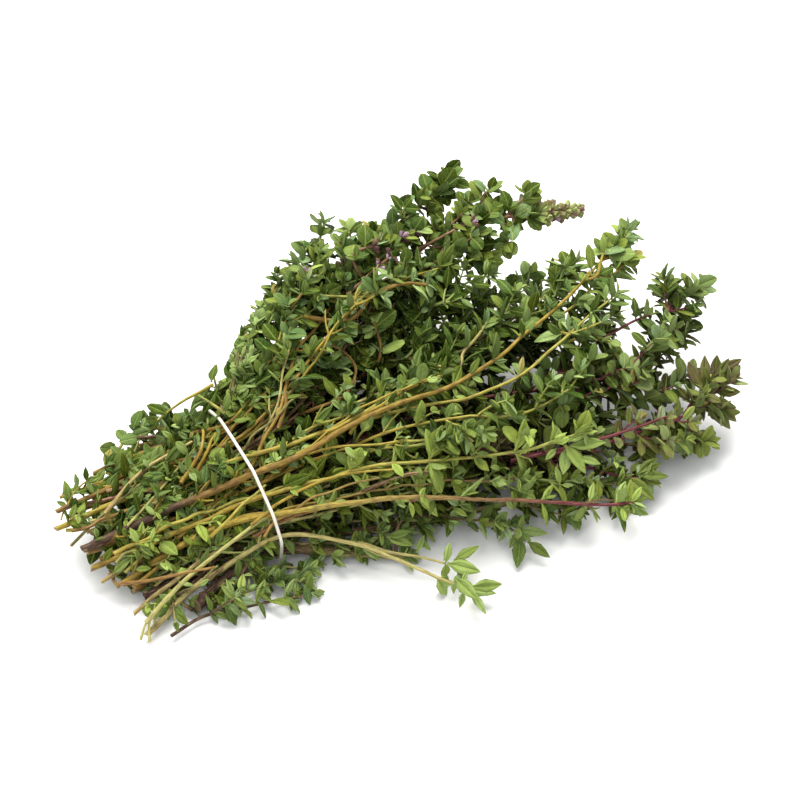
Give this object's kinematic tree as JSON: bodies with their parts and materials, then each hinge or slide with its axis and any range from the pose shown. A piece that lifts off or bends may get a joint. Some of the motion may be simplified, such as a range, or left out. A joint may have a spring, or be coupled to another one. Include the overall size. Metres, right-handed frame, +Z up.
{
  "type": "thyme bundle",
  "caption": "Bunch of cut thyme sprigs with small opposite leaves, held by a thin rubber band and lying on its side, fanning out from the band to the leafy tips.",
  "frame": {"origin": "middle of the underside of the whole bunch's box, on the surface that the bunch lies on", "axes": "+X along the bunch from the cut ends to the leafy tips, +Y across it to the far side, +Z up from the surface"},
  "size_m": [0.2024, 0.1252, 0.0462],
  "materials": {
    "leaf": "satin",
    "stem_woody": "matte",
    "stem_yellow": "satin",
    "stem_green": "satin",
    "stem_red": "satin",
    "flower": "matte",
    "band": "satin"
  },
  "bodies": {
    "root": {"sprig_01_stem": "stem_woody", "sprig_01_leaves": "leaf", "sprig_02_stem": "stem_woody", "sprig_02_leaves": "leaf", "sprig_03_stem": "stem_yellow", "sprig_03_leaves": "leaf", "sprig_04_stem": "stem_red", "sprig_04_leaves": "leaf", "sprig_05_stem": "stem_red", "sprig_05_leaves": "leaf", "sprig_06_stem": "stem_woody", "sprig_06_leaves": "leaf", "sprig_07_stem": "stem_yellow", "sprig_07_leaves": "leaf", "sprig_08_stem": "stem_yellow", "sprig_08_leaves": "leaf", "sprig_09_stem": "stem_yellow", "sprig_09_leaves": "leaf", "sprig_10_stem": "stem_green", "sprig_10_leaves": "leaf", "sprig_11_stem": "stem_green", "sprig_11_leaves": "leaf", "sprig_12_stem": "stem_red", "sprig_12_leaves": "leaf", "sprig_13_stem": "stem_green", "sprig_13_leaves": "leaf", "sprig_14_stem": "stem_yellow", "sprig_14_leaves": "leaf", "sprig_15_stem": "stem_green", "sprig_15_leaves": "leaf", "sprig_16_stem": "stem_yellow", "sprig_16_leaves": "leaf", "sprig_17_stem": "stem_yellow", "sprig_17_leaves": "leaf", "sprig_18_stem": "stem_yellow", "sprig_18_leaves": "leaf", "sprig_19_stem": "stem_yellow", "sprig_19_leaves": "leaf", "sprig_20_stem": "stem_green", "sprig_20_leaves": "leaf", "sprig_21_stem": "stem_red", "sprig_21_leaves": "leaf", "sprig_22_stem": "stem_woody", "sprig_22_leaves": "leaf", "sprig_23_stem": "stem_green", "sprig_23_leaves": "leaf", "sprig_24_stem": "stem_yellow", "sprig_24_leaves": "leaf", "sprig_25_stem": "stem_yellow", "sprig_25_leaves": "leaf", "sprig_26_stem": "stem_yellow", "sprig_26_leaves": "leaf", "sprig_27_stem": "stem_yellow", "sprig_27_leaves": "leaf", "sprig_28_stem": "stem_woody", "sprig_28_leaves": "leaf", "flower_head_1": "flower", "rubber_band": "band"}
  },
  "joints": []
}
